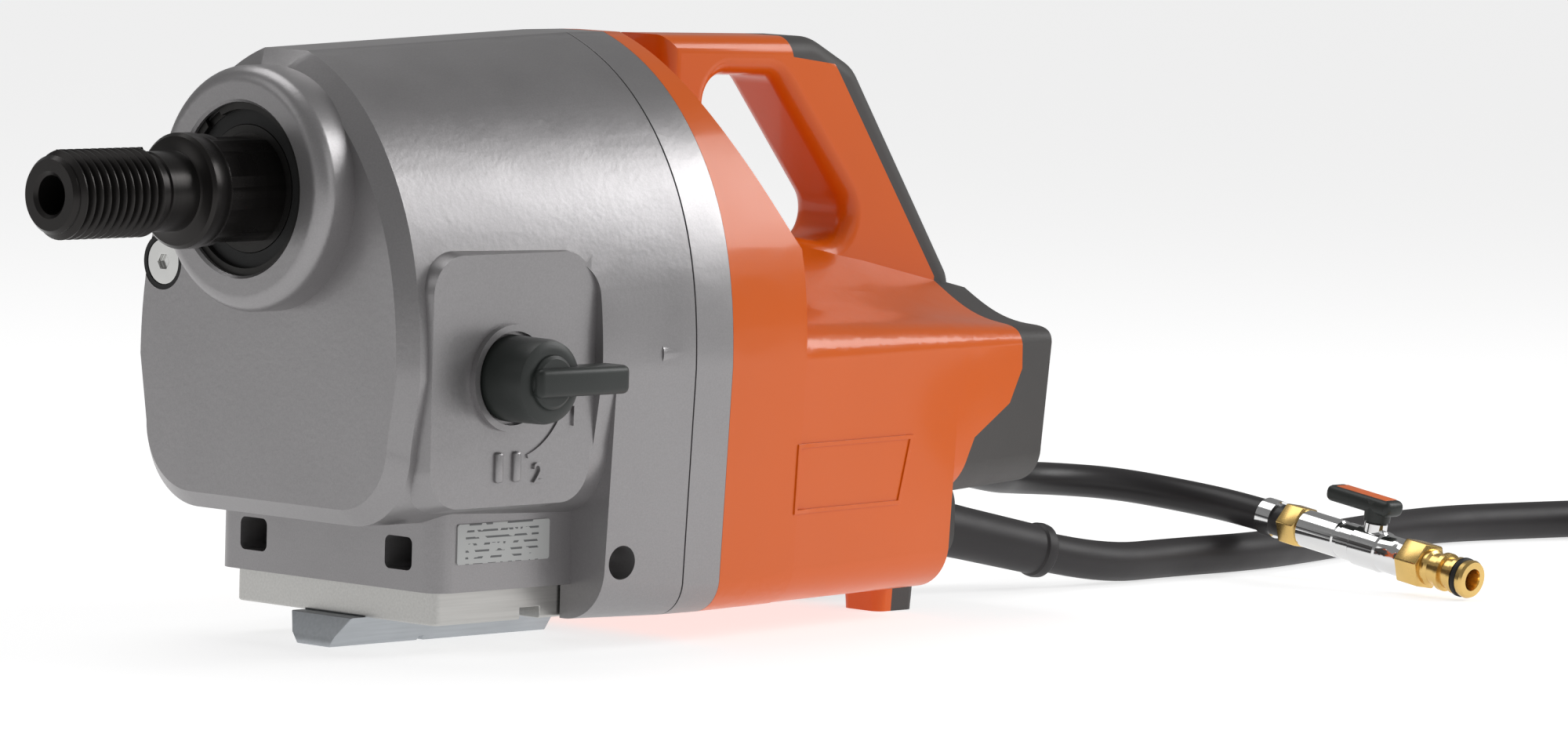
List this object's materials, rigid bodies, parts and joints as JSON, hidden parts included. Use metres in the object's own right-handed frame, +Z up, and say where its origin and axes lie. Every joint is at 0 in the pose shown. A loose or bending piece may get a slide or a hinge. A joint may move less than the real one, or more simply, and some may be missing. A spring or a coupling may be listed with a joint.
{
  "type": "core drill rig",
  "caption": "Two-speed core drill motor with a threaded hollow spindle, handled motor cover, mounting plate with its key, power cable with plug, and water hose with shut-off valve.",
  "frame": {"origin": "centre of the mounting plate's underside, on the line of the key", "axes": "+Z up; the spindle's axis is parallel to X and points along -X; the speed knob is on the -Y side"},
  "size_m": [1.0092, 0.3383, 0.2202],
  "materials": {
    "cast_grey": "satin metallic grey enamel over cast aluminium",
    "cast_grey_ring": "satin metallic grey enamel",
    "plate_aluminium": "brushed, fine lines along the plate",
    "key_zinc": "bluish zinc plated steel",
    "screw_black": "black oxide",
    "plug_steel": "bright zinc plate",
    "stem_brass": "bright",
    "seal_black": "matt black",
    "label_grey": "printed foil, light grey",
    "spindle_steel": "turned steel, black oxide",
    "bearing_steel": "ground and polished",
    "gear_steel": "hardened steel, oiled",
    "bush_bronze": "sintered bronze",
    "knob_black": "matt, near black",
    "core_steel": "laminated steel",
    "copper_wire": "varnished copper wire",
    "jacket_aluminium": "turned",
    "cover_orange": "gloss orange paint",
    "cover_dark": "fine grained dark grey",
    "terminal_white": "natural",
    "sleeve_rubber": "smooth rubber",
    "cable_rubber": "dark grey rubber sheath",
    "hose_pvc": "dark grey, satin",
    "clamp_steel": "bright",
    "valve_chrome": "polished nickel plate",
    "valve_brass": "bright",
    "lever_black": "black",
    "inlay_orange": "orange",
    "connector_shell": "dark grey",
    "contact_metal": "nickel plated"
  },
  "bodies": {
    "housing": {"gear_housing": "cast_grey", "bearing_plate": "cast_grey_ring", "mounting_plate": "plate_aluminium", "mounting_key": "key_zinc", "key_screws": "screw_black", "plate_bolts": "screw_black", "housing_screws": "screw_black", "oil_plug": "plug_steel", "oil_plug_seal": "seal_black", "rating_label": "label_grey", "spindle_bearing_outer": "bearing_steel", "spindle_bearing_balls": "bearing_steel", "bearing_seal": "seal_black", "snap_ring": "screw_black", "shaft_bushes": "bush_bronze", "shift_rail": "gear_steel", "cooling_jacket": "jacket_aluminium", "stator_core": "core_steel", "stator_windings": "copper_wire", "rotor_bearing_outer": "bearing_steel", "rotor_bearing_balls": "bearing_steel", "motor_end_shield": "jacket_aluminium", "terminal_block": "terminal_white", "motor_cover": "cover_orange", "rear_cover": "cover_dark", "strain_relief": "sleeve_rubber", "power_cable": "cable_rubber", "cable_coil": "cable_rubber", "cable_tail": "cable_rubber", "power_connector": "connector_shell", "connector_ring": "contact_metal", "connector_pins": "contact_metal", "water_hose": "hose_pvc", "hose_socket": "seal_black", "hose_clamp": "clamp_steel", "hose_fitting": "valve_chrome", "valve_body": "valve_chrome", "quick_nipple": "valve_brass", "nipple_seal": "seal_black"},
    "spindle": {"spindle": "spindle_steel", "spindle_bearing_inner": "bearing_steel"},
    "low_wheel": {"low_wheel": "gear_steel"},
    "high_wheel": {"high_wheel": "gear_steel"},
    "layshaft": {"layshaft": "gear_steel", "layshaft_gears": "gear_steel"},
    "second_shaft": {"second_shaft": "gear_steel", "second_shaft_gears": "gear_steel"},
    "rotor": {"rotor_core": "core_steel", "rotor_shaft": "gear_steel", "rotor_bearing_inner": "bearing_steel"},
    "shift_knob": {"shift_knob": "knob_black", "shift_shaft": "gear_steel"},
    "shift_fork": {"shift_fork": "bush_bronze"},
    "dog_sleeve": {"dog_sleeve": "gear_steel"},
    "valve_lever": {"valve_lever": "lever_black", "lever_inlay": "inlay_orange", "valve_stem": "stem_brass", "valve_ball": "valve_chrome"}
  },
  "joints": [
    {"name": "rotor_spin", "type": "hinge", "parent": "housing", "child": "rotor", "pos_m": [0, 0, 0.0696], "axis": [1, 0, 0], "continuous": true},
    {"name": "second_shaft_spin", "type": "hinge", "parent": "housing", "child": "second_shaft", "pos_m": [0, 0.03998, 0.06315], "axis": [1, 0, 0], "continuous": true},
    {"name": "layshaft_spin", "type": "hinge", "parent": "housing", "child": "layshaft", "pos_m": [0, 0.026, 0.10275], "axis": [1, 0, 0], "continuous": true},
    {"name": "spindle_spin", "type": "hinge", "parent": "housing", "child": "spindle", "pos_m": [0, 0, 0.1546], "axis": [1, 0, 0], "continuous": true},
    {"name": "low_wheel_spin", "type": "hinge", "parent": "housing", "child": "low_wheel", "pos_m": [0, 0, 0.1546], "axis": [1, 0, 0], "continuous": true},
    {"name": "high_wheel_spin", "type": "hinge", "parent": "housing", "child": "high_wheel", "pos_m": [0, 0, 0.1546], "axis": [1, 0, 0], "continuous": true},
    {"name": "knob_turn", "type": "hinge", "parent": "housing", "child": "shift_knob", "pos_m": [-0.0371, -0.08, 0.0904], "axis": [0, 1, 0], "range_deg": [0, 90]},
    {"name": "shift_slide", "type": "slide", "parent": "housing", "child": "shift_fork", "axis": [1, 0, 0], "range_m": [-0.0113, 0]},
    {"name": "sleeve_spin", "type": "hinge", "parent": "shift_fork", "child": "dog_sleeve", "pos_m": [0, 0, 0.1546], "axis": [1, 0, 0], "continuous": true},
    {"name": "valve_turn", "type": "hinge", "parent": "housing", "child": "valve_lever", "pos_m": [0.43422, -0.08252, 0.00462], "axis": [0, -0.1463, 0.9892], "range_deg": [-90, 0]}
  ],
  "couplings": [
    {"joint": "second_shaft_spin", "follows": "rotor_spin", "ratio": -0.28571},
    {"joint": "layshaft_spin", "follows": "rotor_spin", "ratio": 0.095238},
    {"joint": "spindle_spin", "follows": "rotor_spin", "ratio": -0.036281},
    {"joint": "low_wheel_spin", "follows": "rotor_spin", "ratio": -0.036281},
    {"joint": "high_wheel_spin", "follows": "rotor_spin", "ratio": -0.082949},
    {"joint": "sleeve_spin", "follows": "rotor_spin", "ratio": -0.036281},
    {"joint": "knob_turn", "follows": "shift_slide", "rad_per_m": -138.84}
  ]
}
